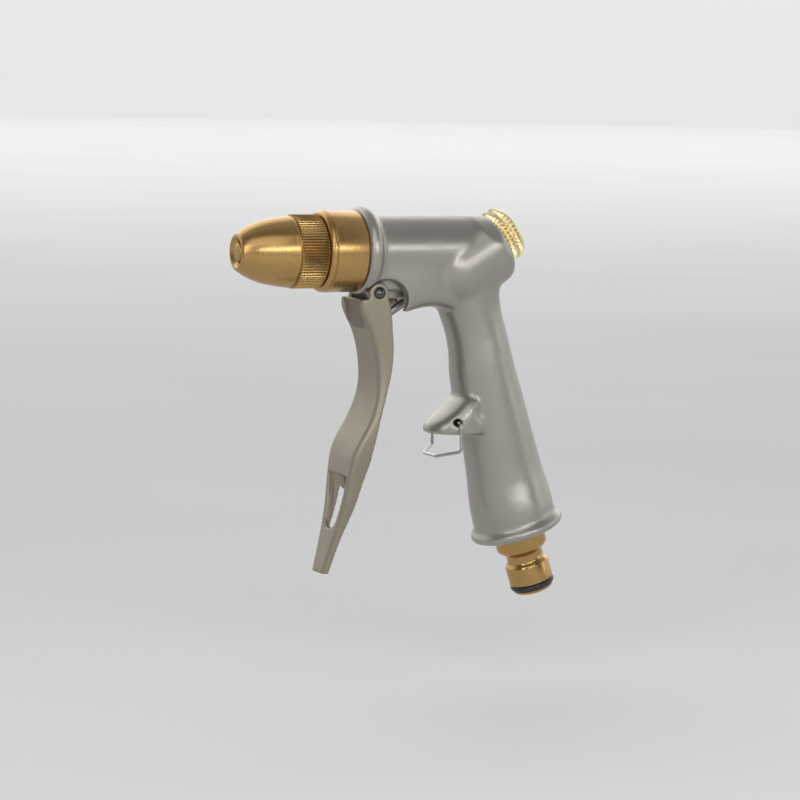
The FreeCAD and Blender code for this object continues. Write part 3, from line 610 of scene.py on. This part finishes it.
# ---- spray head ----------------------------------------------------------------------------
class SPRAY_OT_sleeve(bpy.types.Operator):
    """Turn the bullet-shaped spray sleeve and cut its fine straight knurl"""

    bl_idname = "spray_nozzle.sleeve"
    bl_label = "Spray sleeve"

    def execute(self, context):
        s = context.scene.spray_nozzle
        columns = 4 * s.band_teeth
        band_r = 12.69
        profile = [
            (-14.3, 9.68),
            (-14.3, band_r - 0.45),
            (-14.65, band_r),
            (-23.85, band_r),
            (-24.2, band_r - 0.45),
            (-24.2, 11.9),
            (-25.2, 12.38),
            (-25.6, 12.3),
            (-26.6, 12.19),
            (-28.4, 11.98),
            (-30.9, 11.6),
            (-32.8, 11.22),
            (-34.7, 10.75),
            (-36.7, 10.12),
            (-38.6, 9.35),
            (-40.4, 8.5),
            (-41.8, 7.68),
            (-42.9, 6.95),
            (-43.4, 6.6),
            (-43.75, 6.25),
            (-43.95, 5.8),
            (-44.0, 5.4),
            (-43.9, 5.18),
            (-43.3, 4.65),
            (-42.6, 3.85),
            (-42.3, 3.66),
            (-40.6, 3.65),
            (-33.0, 8.2),
            (-29.3, 9.68),
            (-19.85, 9.68),
            (-19.85, 11.1),
            (-18.15, 11.1),
            (-18.15, 9.68),
        ]
        piece = lathe("spray_sleeve", profile, columns, 0.08, closed=True)
        depth = 0.4
        sink(piece, -24.0, -14.5, columns, 4, (2,), 1 - depth / band_r)
        sink(piece, -24.0, -14.5, columns, 4, (1, 3), 1 - 0.72 * depth / band_r)
        place(piece, BARREL_AT, BARREL_DIR)
        mark_teeth(piece, BARREL_AT, BARREL_DIR, -23.95, -14.55, band_r, depth)
        smooth(piece, 28)
        finish_piece(
            piece,
            "sleeve",
            finish_named("brass_round_barrel"),
            "brass_turned",
            "nozzle_sleeve",
        )
        return {"FINISHED"}


class SPRAY_OT_adapter(bpy.types.Operator):
    """Turn the brass collar with its spigot, and the centre pin in the mouth of the sleeve"""

    bl_idname = "spray_nozzle.adapter"
    bl_label = "Collar and centre pin"

    def execute(self, context):
        r = 14.14
        profile = [
            (12.6, 6.0),
            (12.6, 9.6),
            (0.0, 9.6),
            (0.0, r - 0.5),
            (-0.35, r - 0.12),
            (-0.6, r),
            (-11.75, r),
            (-11.95, r - 0.34),
            (-12.25, r - 0.36),
            (-12.4, r - 0.08),
            (-12.75, r - 0.06),
            (-13.4, r - 0.42),
            (-13.85, r - 0.85),
            (-14.0, r - 1.3),
            (-14.0, 9.6),
            (-24.4, 9.6),
            (-25.0, 9.0),
            (-25.0, 6.0),
        ]
        collar = lathe("brass_collar", profile, 160, 0.07, closed=True)
        place(collar, BARREL_AT, BARREL_DIR)
        smooth(collar, 24)
        brass = finish_named("brass_round_barrel")
        finish_piece(collar, "body", brass, "brass_turned", "front_adapter")
        profile = [
            (-12.0, 0.0),
            (-12.0, 5.99),
            (-16.0, 5.99),
            (-16.0, 2.4),
            (-36.0, 2.0),
            (-40.6, 2.0),
            (-42.1, 3.2),
            (-42.4, 3.27),
            (-43.3, 3.27),
            (-43.59, 2.98),
            (-43.59, 1.0),
            (-43.1, 0.75),
            (-42.8, 0.0),
        ]
        pin = lathe("centre_pin_turned", profile, 72, 0.06)
        place(pin, BARREL_AT, BARREL_DIR)
        smooth(pin, 24)
        finish_piece(pin, "body", brass, "brass_turned", "centre_pin")
        return {"FINISHED"}


# ---- rear knob -----------------------------------------------------------------------------
class SPRAY_OT_knob(bpy.types.Operator):
    """Turn the rear knob and round its two rows of teeth"""

    bl_idname = "spray_nozzle.knob"
    bl_label = "Rear knob"

    def execute(self, context):
        s = context.scene.spray_nozzle
        columns = 4 * s.knob_teeth
        r = 9.98
        rows = [(0.55, 3.35), (3.65, 6.1)]
        profile = [(-10.2, 0.0), (-10.2, 2.2), (-8.15, 2.2), (-8.15, 3.4), (0.5, 3.4)]
        profile += [(0.5, r - 1.2)]
        steps = 6
        for low, high in rows:
            for i in range(steps + 1):
                share = i / steps
                profile.append(
                    (
                        low + (high - low) * share,
                        r - 0.95 * (1 - math.sin(math.pi * share) ** 0.6),
                    )
                )
        profile += [
            (6.35, r - 1.0),
            (6.7, r - 1.15),
            (6.95, 8.35),
            (7.1, 7.9),
            (7.1, 6.85),
            (6.95, 6.5),
            (6.5, 5.2),
            (6.35, 3.0),
            (6.3, 0.0),
        ]
        piece = lathe("rear_knob_turned", profile, columns, 0.0)
        for row, (low, high) in enumerate(rows):
            shift = 2 * row
            inner = ((2 + shift) % 4,)
            sides = ((1 + shift) % 4, (3 + shift) % 4)
            sink(piece, low + 0.1, high - 0.1, columns, 4, inner, 1 - 0.95 / r)
            sink(piece, low + 0.1, high - 0.1, columns, 4, sides, 1 - 0.42 / r)
        place(piece, VALVE_AT, VALVE_DIR)
        mark_teeth(piece, VALVE_AT, VALVE_DIR, 0.6, 6.1, r, KNOB_MARK_FADE)
        smooth(piece, 42)
        finish_piece(
            piece, "knob", finish_named("brass_round_knob"), "brass_knurled", "rear_knob"
        )
        return {"FINISHED"}


# ---- nipple --------------------------------------------------------------------------------
class SPRAY_OT_nipple(bpy.types.Operator):
    """Turn the hose nipple and its rubber ring"""

    bl_idname = "spray_nozzle.nipple"
    bl_label = "Hose nipple"

    def execute(self, context):
        profile = [
            (0.0, 4.5),
            (0.0, 6.5),
            (0.35, 6.95),
            (0.8, 7.25),
            (1.2, 7.25),
            (1.2, 5.85),
            (3.6, 5.85),
            (3.6, 7.9),
            (10.1, 7.9),
            (10.7, 7.55),
            (11.2, 7.0),
            (11.7, 6.68),
            (12.3, 6.59),
            (14.2, 6.59),
            (14.8, 6.95),
            (15.9, 8.2),
            (16.6, 8.9),
            (17.2, 9.18),
            (22.6, 9.18),
            (22.6, 7.6),
            (35.0, 7.6),
            (35.0, 5.1),
            (14.0, 4.5),
        ]
        nipple = lathe("nipple_turned", profile, 144, 0.1, closed=True)
        place(nipple, NIPPLE_AT, NIPPLE_DIR)
        smooth(nipple, 26)
        brass = finish_named("brass_round_nipple")
        finish_piece(nipple, "body", brass, "brass_turned", "hose_nipple")
        turns = 24
        ring = [
            (
                2.4 + 1.09 * math.sin(2 * math.pi * i / turns),
                6.95 + 1.09 * math.cos(2 * math.pi * i / turns),
            )
            for i in range(turns)
        ]
        ring = lathe("nipple_ring", ring, 120, 0.0, closed=True)
        place(ring, NIPPLE_AT, NIPPLE_DIR)
        smooth(ring, 60)
        finish_piece(
            ring, "body", finish_named("black_rubber"), "rubber_black", "nipple_o_ring"
        )
        return {"FINISHED"}


# ---- small steel pieces --------------------------------------------------------------------
class SPRAY_OT_steel(bpy.types.Operator):
    """Turn the pivot pin with its domed heads, and the valve stem"""

    bl_idname = "spray_nozzle.steel"
    bl_label = "Pivot pin and stem"

    def execute(self, context):
        face = 9.6
        dome = []
        for i in range(9):
            angle = math.radians(66.5 * i / 8)
            dome.append((face - 0.9 + 2.29 * math.cos(angle), 2.29 * math.sin(angle)))
        half = dome + [(face, 2.1), (face, 1.6)]
        profile = half + [(-s, r) for s, r in reversed(half)]
        pin = lathe("pivot_pin", profile, 64, 0.0)
        place(pin, PIVOT_AT, PIVOT_DIR)
        smooth(pin, 35)
        finish_piece(
            pin, "body", finish_named("polished_dark_steel"), "dark_steel", "trigger_pin"
        )
        tip = -57.6
        profile = []
        for i in range(9):
            angle = math.radians(90 * i / 8)
            profile.append((tip + 1.5 - 1.5 * math.cos(angle), 1.5 * math.sin(angle)))
        profile += [(-17.3, 1.5), (-17.3, 2.6), (-16.1, 2.6), (-16.1, 0.0)]
        stem = lathe("stem_turned", profile, 48, 0.05)
        place(stem, VALVE_AT, VALVE_DIR)
        smooth(stem, 35)
        finish_piece(
            stem, "valve", finish_named("drawn_steel"), "steel_rod", "valve_stem"
        )
        return {"FINISHED"}


class SPRAY_OT_bail(bpy.types.Operator):
    """Bend the locking bail from one round wire"""

    bl_idname = "spray_nozzle.bail"
    bl_label = "Locking bail"

    def execute(self, context):
        s = context.scene.spray_nozzle
        half = [
            (36.7, 6.0, -60.0),
            (36.7, 11.8, -60.0),
            (37.0, 11.8, -70.0),
            (30.5, 5.2, -72.0),
        ]
        path = half + [(x, -y, z) for x, y, z in reversed(half)]
        path = [BARREL_AT + Vector(p) * MM for p in path]
        bend = s.bail_bend
        deselect()
        bpy.ops.mesh.primitive_circle_add(
            vertices=20, radius=0.54 * MM, fill_type="NGON", location=(0, 0, 0)
        )
        piece = bpy.context.object
        piece.name = "bail_wire_bent"
        piece.data.name = "bail_wire_bent"
        place(piece, path[0], (path[1] - path[0]).normalized())
        edit_all(piece)
        used = 0.0
        for i in range(1, len(path) - 1):
            run = path[i] - path[i - 1]
            ahead = (path[i + 1] - path[i]).normalized()
            way = run.normalized()
            angle = way.angle(ahead)
            trim = bend * math.tan(angle / 2)
            bpy.ops.mesh.extrude_region_move(
                TRANSFORM_OT_translate={"value": way * (run.length - used - trim)}
            )
            axis = way.cross(ahead).normalized()
            start = path[i] - way * trim
            bpy.ops.mesh.spin(
                steps=8, angle=-angle, center=start + axis.cross(way) * bend, axis=axis
            )
            used = trim
        run = path[-1] - path[-2]
        bpy.ops.mesh.extrude_region_move(
            TRANSFORM_OT_translate={"value": run.normalized() * (run.length - used)}
        )
        bpy.ops.object.mode_set(mode="OBJECT")
        outward(piece)
        apply_modifier(
            piece, "BEVEL", width=0.1 * MM, segments=2, limit_method="ANGLE"
        )
        smooth(piece, 40)
        finish_piece(
            piece, "bail", finish_named("bail_steel_wire"), "bail_steel", "bail_wire"
        )
        return {"FINISHED"}


class SPRAY_OT_inside(bpy.types.Operator):
    """Finish the seals and valve pieces inside the casting"""

    bl_idname = "spray_nozzle.inside"
    bl_label = "Inside pieces"

    def execute(self, context):
        finishes = {
            "black_rubber": (
                "adapter_seal",
                "gland_packing",
                "bonnet_o_ring",
                "nipple_gasket",
                "poppet_seal",
                "sleeve_o_ring",
            ),
            "brass_round_knob": ("valve_seat", "gland_nut", "valve_bonnet", "valve_poppet"),
            "drawn_steel": ("spring_seat",),
            "spring_steel": ("valve_spring",),
        }
        for kind, nodes in finishes.items():
            for node in nodes:
                piece = frame["nodes"][node]
                for slot in piece.material_slots:
                    slot.material = finish_named(kind)
        return {"FINISHED"}


# ---- stage ---------------------------------------------------------------------------------
def soft_light(name, at, towards, size, power, colour=(1, 1, 1)):
    """Rectangular soft light aimed at a point."""
    light = bpy.data.lights.new(name, "AREA")
    light.shape = "RECTANGLE"
    light.size, light.size_y = size
    light.energy = power
    light.color = colour
    lamp = bpy.data.objects.new(name, light)
    lamp.location = at
    lamp.rotation_euler = (Vector(towards) - Vector(at)).to_track_quat("-Z", "Y").to_euler()
    bpy.context.scene.collection.objects.link(lamp)


# name, direction from the nozzle, width and height in metres, brightness of its face
LIGHTS = (
    ("key", (-0.31, -0.67, 0.67), (0.9, 0.6), 1.1),
    ("strip", (0.0, -0.97, 0.25), (1.15, 0.1), 9.0),
    ("front", (-0.85, -0.6, 0.32), (0.22, 0.5), 3.6),
    ("side", (0.9, -0.45, 0.3), (0.25, 0.6), 0.8),
)
# large panel over the far floor: place, width and depth in metres, brightness of its face
PANEL_AT = (3.6, 8.0, 3.4)
PANEL_SIZE = (13.0, 12.0)
PANEL_SHARE = 0.95


HORIZON = 0.80             # brightness of the walls where they meet the floor


def studio_surround(level):
    """Studio walls: white behind the nozzle, dimmer in front of it and overhead."""
    world = bpy.data.worlds.new("studio")
    world.use_nodes = True
    tree = world.node_tree
    sky = tree.nodes["Background"]
    way = tree.nodes.new("ShaderNodeTexCoord")
    facing = tree.nodes.new("ShaderNodeVectorMath")
    facing.operation = "DOT_PRODUCT"
    facing.inputs[1].default_value = (0.42, 0.907, 0.0)
    walls = tree.nodes.new("ShaderNodeMapRange")
    walls.interpolation_type = "SMOOTHSTEP"
    walls.inputs["From Min"].default_value = -0.75
    walls.inputs["From Max"].default_value = 0.35
    walls.inputs["To Min"].default_value = 0.08
    walls.inputs["To Max"].default_value = 1.0
    height = tree.nodes.new("ShaderNodeSeparateXYZ")
    ceiling = tree.nodes.new("ShaderNodeMapRange")
    ceiling.interpolation_type = "SMOOTHSTEP"
    ceiling.inputs["From Min"].default_value = 0.3
    ceiling.inputs["From Max"].default_value = 0.9
    ceiling.inputs["To Min"].default_value = 1.0
    ceiling.inputs["To Max"].default_value = 0.45
    both = tree.nodes.new("ShaderNodeMath")
    both.operation = "MULTIPLY"
    tree.links.new(way.outputs["Generated"], facing.inputs[0])
    tree.links.new(facing.outputs["Value"], walls.inputs["Value"])
    tree.links.new(way.outputs["Generated"], height.inputs["Vector"])
    tree.links.new(height.outputs["Z"], ceiling.inputs["Value"])
    tree.links.new(walls.outputs["Result"], both.inputs[0])
    tree.links.new(ceiling.outputs["Result"], both.inputs[1])
    rise = tree.nodes.new("ShaderNodeMapRange")
    rise.interpolation_type = "SMOOTHSTEP"
    rise.inputs["From Min"].default_value = 0.012
    rise.inputs["From Max"].default_value = 0.09
    tree.links.new(height.outputs["Z"], rise.inputs["Value"])
    horizon = tree.nodes.new("ShaderNodeMix")
    horizon.inputs["A"].default_value = HORIZON
    tree.links.new(rise.outputs["Result"], horizon.inputs["Factor"])
    tree.links.new(both.outputs["Value"], horizon.inputs["B"])
    tree.links.new(horizon.outputs["Result"], sky.inputs["Color"])
    sky.inputs["Strength"].default_value = level
    return world


class SPRAY_OT_stage(bpy.types.Operator):
    """Set the pale floor, the soft lights and the camera"""

    bl_idname = "spray_nozzle.stage"
    bl_label = "Stage"

    def execute(self, context):
        s = context.scene.spray_nozzle
        deselect()
        low = CAD_BOX[0][2]
        bpy.ops.mesh.primitive_circle_add(
            vertices=96, radius=12.0, fill_type="NGON", location=(0, 0, low - s.floor_gap)
        )
        floor = context.object
        floor.name = "pale_floor"
        edit_all(floor)
        bpy.ops.mesh.inset(thickness=1.0, depth=0.0)
        bpy.ops.object.mode_set(mode="OBJECT")
        bpy.ops.object.transform_apply(location=True, rotation=True, scale=True)
        material, tree, shader = new_material("pale_floor")
        shade = ramp(tree, grain(tree, 3.0, 2.0), 0.0, 1.0)
        tree.links.new(
            blend_colour(tree, shade, (0.7, 0.7, 0.7), (0.73, 0.73, 0.73)),
            shader.inputs["Base Color"],
        )
        shader.inputs["Roughness"].default_value = 0.7
        floor.data.materials.append(material)

        aim = Vector((-0.05, 0.0, 0.085))
        for name, way, size, share in LIGHTS:
            at = aim + Vector(way).normalized()
            power = share * s.light_level * math.pi * size[0] * size[1]
            soft_light(name, at, aim, size, power)
        size = PANEL_SIZE
        power = PANEL_SHARE * s.light_level * math.pi * size[0] * size[1]
        below = Vector(PANEL_AT) - Vector((0.0, 0.0, 1.0))
        soft_light("overhead", PANEL_AT, below, size, power)
        context.scene.world = studio_surround(s.surround)
        context.scene.view_settings.view_transform = "Standard"

        azimuth, elevation, roll = (
            math.radians(a) for a in (-25.004, 6.3368, 1.0453)
        )
        back = Vector(
            (
                math.sin(azimuth) * math.cos(elevation),
                -math.cos(azimuth) * math.cos(elevation),
                math.sin(elevation),
            )
        )
        right = Vector((math.cos(azimuth), math.sin(azimuth), 0.0))
        up = back.cross(right)
        tilted = right * math.cos(roll) + up * math.sin(roll)
        upright = up * math.cos(roll) - right * math.sin(roll)
        target = BARREL_AT + Vector((18.5178, 0.0, -52.3730)) * MM
        lens = bpy.data.cameras.new("camera")
        lens.sensor_width = 36.0
        lens.lens = 132.85
        lens.clip_start = 0.05
        camera = bpy.data.objects.new("camera", lens)
        turn = Matrix((tilted, upright, back)).transposed().to_4x4()
        camera.matrix_world = Matrix.Translation(target + back * 1.03338) @ turn
        context.scene.collection.objects.link(camera)
        context.scene.camera = camera
        return {"FINISHED"}


# ---- settings and panel ----------------------------------------------------------------------
def colour_setting(name, default, description):
    """Colour that a user may change."""
    return bpy.props.FloatVectorProperty(
        name=name,
        subtype="COLOR",
        size=3,
        min=0.0,
        max=1.0,
        default=default,
        description=description,
    )


def length_setting(name, default, description):
    """Length that a user may change, in metres."""
    return bpy.props.FloatProperty(
        name=name, unit="LENGTH", default=default, description=description, precision=5
    )


def count_setting(name, default, description):
    """Whole number that a user may change."""
    return bpy.props.IntProperty(name=name, default=default, min=1, description=description)


def number_setting(name, default, description):
    """Plain number that a user may change."""
    return bpy.props.FloatProperty(
        name=name, default=default, min=0.0, description=description
    )


class SprayNozzleSettings(bpy.types.PropertyGroup):
    """Sizes and colours of the spray nozzle"""

    paint: colour_setting("Body coat", (0.375, 0.352, 0.32), "Satin coat on the body")
    lever_paint: colour_setting("Lever coat", (0.31, 0.278, 0.215), "Coat on the lever")
    brass: colour_setting("Brass", (0.5, 0.315, 0.12), "Turned brass")
    knob_brass: colour_setting("Knob brass", (0.95, 0.78, 0.46), "Paler brass of the knob")
    paint_roughness: number_setting("Body gloss", 0.36, "Roughness of the body's coat")
    lever_roughness: number_setting("Lever gloss", 0.47, "Roughness of the lever's coat")
    body_voxel: length_setting("Body skin", 0.00055, "Size of the body skin's faces")
    lever_voxel: length_setting("Lever skin", 0.00042, "Size of the lever skin's faces")
    body_fillet: count_setting("Body fillets", 45, "How far the body's corners are filled")
    lever_fillet: count_setting("Lever fillets", 14, "How far the lever's corners are filled")
    band_teeth: count_setting("Band teeth", 78, "Teeth round the spray sleeve's band")
    knob_teeth: count_setting("Knob teeth", 36, "Teeth round the rear knob")
    bail_bend: length_setting("Bail bend", 0.0016, "Radius of the bail's bends")
    floor_gap: length_setting("Floor gap", 0.03, "Space between the nozzle and the floor")
    light_level: number_setting("Lights", 1.0, "Brightness of the soft lights")
    surround: number_setting("Surround", 1.0, "Brightness of the studio around the piece")


STEPS = (
    "body",
    "lever",
    "sleeve",
    "adapter",
    "knob",
    "nipple",
    "steel",
    "bail",
    "inside",
    "stage",
)


class SPRAY_PT_panel(bpy.types.Panel):
    """The nozzle's sizes, colours and pieces"""

    bl_idname = "SPRAY_PT_panel"
    bl_label = "Spray nozzle"
    bl_space_type = "VIEW_3D"
    bl_region_type = "UI"
    bl_category = "Spray nozzle"

    def draw(self, context):
        settings = context.scene.spray_nozzle
        for key in SprayNozzleSettings.__annotations__:
            self.layout.prop(settings, key)
        for step in STEPS:
            self.layout.operator("spray_nozzle." + step)


CLASSES = (
    SprayNozzleSettings,
    SPRAY_OT_body,
    SPRAY_OT_lever,
    SPRAY_OT_sleeve,
    SPRAY_OT_adapter,
    SPRAY_OT_knob,
    SPRAY_OT_nipple,
    SPRAY_OT_steel,
    SPRAY_OT_bail,
    SPRAY_OT_inside,
    SPRAY_OT_stage,
    SPRAY_PT_panel,
)


def register():
    """Add the classes and the scene's settings."""
    for each in CLASSES:
        bpy.utils.register_class(each)
    bpy.types.Scene.spray_nozzle = bpy.props.PointerProperty(type=SprayNozzleSettings)


def unregister():
    """Take them away again."""
    del bpy.types.Scene.spray_nozzle
    for each in reversed(CLASSES):
        bpy.utils.unregister_class(each)


def main():
    """Build every piece and the stage."""
    register()
    for step in STEPS:
        getattr(bpy.ops.spray_nozzle, step)()


if __name__ == "__main__":
    main()
